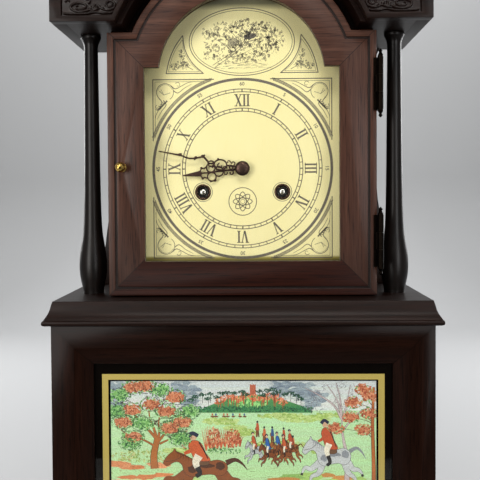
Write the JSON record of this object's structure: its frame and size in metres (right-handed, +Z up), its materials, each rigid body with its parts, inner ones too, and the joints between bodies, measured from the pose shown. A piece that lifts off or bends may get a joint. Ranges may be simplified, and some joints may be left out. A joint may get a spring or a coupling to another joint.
{
  "type": "grandfather clock",
  "caption": "Shelf-size grandfather-pattern pendulum clock: arched glazed door, engraved brass dial, turned columns, swan-neck cornice and a framed picture below.",
  "frame": {"origin": "on the surface the clock stands on, midway across and midway deep", "axes": "+Z up, -Y towards the viewer of the dial, +X to the viewer's right"},
  "size_m": [0.342, 0.153, 0.664],
  "materials": {
    "mahogany": "dark red-brown lacquered hardwood",
    "black_lacquer": "high-gloss black lacquer on turned wood",
    "plywood": "stained plywood",
    "clear_glass": "clear float glass",
    "printed_board": null,
    "brass": "polished brass",
    "dial_brass": "satin lemon brass with dark printing",
    "hand_steel": "dark bronzed steel",
    "steel": "bright steel"
  },
  "bodies": {
    "case": {"lower_front_frame": "mahogany", "lower_sides": "mahogany", "waist_moulding": "mahogany", "base_moulding": "mahogany", "feet": "mahogany", "hood_sides": "mahogany", "hood_head": "mahogany", "cornice_fascia": "mahogany", "cornice_sides": "mahogany", "carved_panels": "mahogany", "swan_necks": "mahogany", "side_mouldings": "mahogany", "arch_soffit": "mahogany", "finial": "mahogany", "columns": "black_lacquer", "case_bottom": "plywood", "lower_rear_cover": "plywood", "backboard": "plywood", "cornice_boards": "plywood", "dial_board": "plywood", "picture_backing": "plywood", "gong_block": "plywood", "picture_glass": "clear_glass", "picture_panel": "printed_board", "case_hinge_leaves": "brass", "hinge_pins": "brass", "winding_bushes": "brass", "dial_plate": "dial_brass", "front_plate": "steel", "back_plate": "steel", "pillars": "steel", "gong": "steel", "cover_screws": "steel", "catch_magnet": "steel"},
    "door": {"door_frame": "mahogany", "door_glass": "clear_glass", "glass_stops": "plywood", "door_knob": "brass", "door_hinge_leaves": "brass", "catch_plate": "steel"},
    "hands": {"cannon_pinion": "brass", "minute_hand": "hand_steel", "hand_nut": "hand_steel"},
    "motion_wheel_body": {"motion_wheel": "brass"},
    "hour_hand_body": {"hour_wheel": "brass", "hour_hand": "hand_steel"},
    "time_barrel_body": {"time_barrel": "brass"},
    "strike_barrel_body": {"strike_barrel": "brass"},
    "time_arbor_body": {"time_arbor": "steel"},
    "strike_arbor_body": {"strike_arbor": "steel"},
    "centre_arbor_body": {"centre_arbor": "brass"},
    "third_wheel_body": {"third_wheel": "brass"},
    "escape_wheel_body": {"escape_wheel": "brass"},
    "anchor_body": {"anchor": "steel"},
    "pendulum": {"pendulum_rod": "steel", "pendulum_bob": "brass", "rating_nut": "brass"},
    "strike_wheel_body": {"strike_wheel": "brass"},
    "fly_body": {"fly": "brass"},
    "hammer_body": {"hammer": "steel"}
  },
  "joints": [
    {"name": "door_hinge", "type": "hinge", "parent": "case", "child": "door", "pos_m": [0.122, -0.0435, 0.404], "axis": [0, 0, 1], "range_deg": [0, 100]},
    {"name": "hand_setting", "type": "hinge", "parent": "case", "child": "hands", "pos_m": [0, 0, 0.4043], "axis": [0, 1, 0], "continuous": true},
    {"name": "motion_wheel_turn", "type": "hinge", "parent": "case", "child": "motion_wheel_body", "pos_m": [0, 0, 0.4243], "axis": [0, 1, 0], "continuous": true},
    {"name": "hour_hand_turn", "type": "hinge", "parent": "case", "child": "hour_hand_body", "pos_m": [0, 0, 0.4043], "axis": [0, 1, 0], "continuous": true},
    {"name": "escape_wheel_turn", "type": "hinge", "parent": "case", "child": "escape_wheel_body", "pos_m": [0, 0, 0.4449], "axis": [0, 1, 0], "continuous": true},
    {"name": "third_wheel_turn", "type": "hinge", "parent": "case", "child": "third_wheel_body", "pos_m": [0, 0, 0.4251], "axis": [0, 1, 0], "continuous": true},
    {"name": "centre_arbor_turn", "type": "hinge", "parent": "case", "child": "centre_arbor_body", "pos_m": [0, 0, 0.4043], "axis": [0, 1, 0], "continuous": true},
    {"name": "time_barrel_turn", "type": "hinge", "parent": "case", "child": "time_barrel_body", "pos_m": [0.0368, 0, 0.3827], "axis": [0, 1, 0], "continuous": true},
    {"name": "time_winding", "type": "hinge", "parent": "case", "child": "time_arbor_body", "pos_m": [0.0368, 0, 0.3827], "axis": [0, 1, 0], "continuous": true},
    {"name": "strike_winding", "type": "hinge", "parent": "case", "child": "strike_arbor_body", "pos_m": [-0.0368, 0, 0.3827], "axis": [0, 1, 0], "continuous": true},
    {"name": "strike_barrel_turn", "type": "hinge", "parent": "case", "child": "strike_barrel_body", "pos_m": [-0.0368, 0, 0.3827], "axis": [0, 1, 0], "continuous": true},
    {"name": "strike_wheel_turn", "type": "hinge", "parent": "case", "child": "strike_wheel_body", "pos_m": [-0.04494, 0, 0.42459], "axis": [0, 1, 0], "continuous": true},
    {"name": "fly_turn", "type": "hinge", "parent": "case", "child": "fly_body", "pos_m": [-0.04494, 0, 0.44219], "axis": [0, 1, 0], "continuous": true},
    {"name": "pendulum_swing", "type": "hinge", "parent": "case", "child": "pendulum", "pos_m": [0, 0, 0.4639], "axis": [0, 1, 0], "range_deg": [-4, 4]},
    {"name": "anchor_rock", "type": "hinge", "parent": "case", "child": "anchor_body", "pos_m": [0, 0, 0.4639], "axis": [0, 1, 0], "range_deg": [-4, 4]},
    {"name": "hammer_lift", "type": "hinge", "parent": "case", "child": "hammer_body", "pos_m": [-0.0635, 0, 0.4158], "axis": [0, 1, 0], "range_deg": [0, 18], "stiffness_Nm_per_rad": 0.02, "springref_deg": -20.05}
  ],
  "couplings": [
    {"joint": "motion_wheel_turn", "follows": "hand_setting", "ratio": -0.33333},
    {"joint": "hour_hand_turn", "follows": "hand_setting", "ratio": 0.083333},
    {"joint": "third_wheel_turn", "follows": "escape_wheel_turn", "ratio": -0.1},
    {"joint": "centre_arbor_turn", "follows": "escape_wheel_turn", "ratio": 0.0083333},
    {"joint": "time_barrel_turn", "follows": "escape_wheel_turn", "ratio": -0.0016667},
    {"joint": "strike_wheel_turn", "follows": "strike_barrel_turn", "ratio": -5},
    {"joint": "fly_turn", "follows": "strike_barrel_turn", "ratio": 50},
    {"joint": "anchor_rock", "follows": "pendulum_swing", "ratio": 1}
  ]
}
